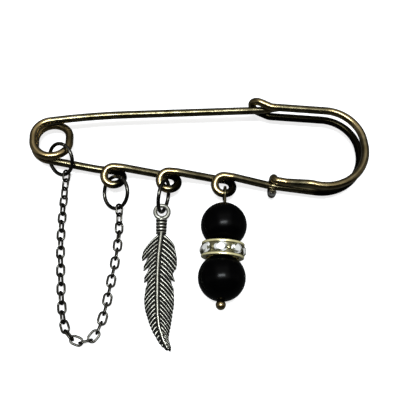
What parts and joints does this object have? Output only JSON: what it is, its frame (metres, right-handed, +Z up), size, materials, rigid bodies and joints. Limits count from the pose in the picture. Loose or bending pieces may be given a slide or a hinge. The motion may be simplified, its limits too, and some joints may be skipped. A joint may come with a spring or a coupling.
{
  "type": "safety pin brooch",
  "caption": "Safety pin brooch of antique bronze wire with curled loops in its rail, holding a chain swag, a feather charm and a drop of black beads with a stone-set rondelle.",
  "frame": {"origin": "middle of the brooch's outline, on the table it lies on", "axes": "+X from the coil to the clasp along the needle, +Y from the drops to the needle, +Z up from the table"},
  "size_m": [0.078, 0.0576, 0.01],
  "materials": {
    "pin_wire": "antique bronze plating, dark with worn yellow highlights",
    "small_wire": "dark bronze plating",
    "cast_metal": "antique casting with blackened recesses and polished ridges",
    "black_bead": "satin black",
    "pale_gold": "bright pale gold plating",
    "clear_stone": "clear cut stone"
  },
  "bodies": {
    "pin_frame": {"frame_wire": "pin_wire", "coil_jump_ring": "small_wire", "loop_jump_ring": "small_wire", "feather_jump_ring": "small_wire", "chain": "small_wire", "feather_charm": "cast_metal", "head_pin": "pin_wire", "upper_bead": "black_bead", "lower_bead": "black_bead", "rondelle": "pale_gold", "stone_1": "clear_stone", "stone_2": "clear_stone", "stone_3": "clear_stone", "stone_4": "clear_stone", "stone_5": "clear_stone", "stone_6": "clear_stone", "stone_7": "clear_stone", "stone_8": "clear_stone"},
    "needle": {"needle_arm": "pin_wire"}
  },
  "joints": [
    {"name": "needle_press", "type": "hinge", "parent": "pin_frame", "child": "needle", "pos_m": [-0.034, 0.02018, 0.0048], "axis": [0, 0, 1], "range_deg": [-8, 0], "stiffness_Nm_per_rad": 0.5, "springref_deg": 3.44}
  ]
}
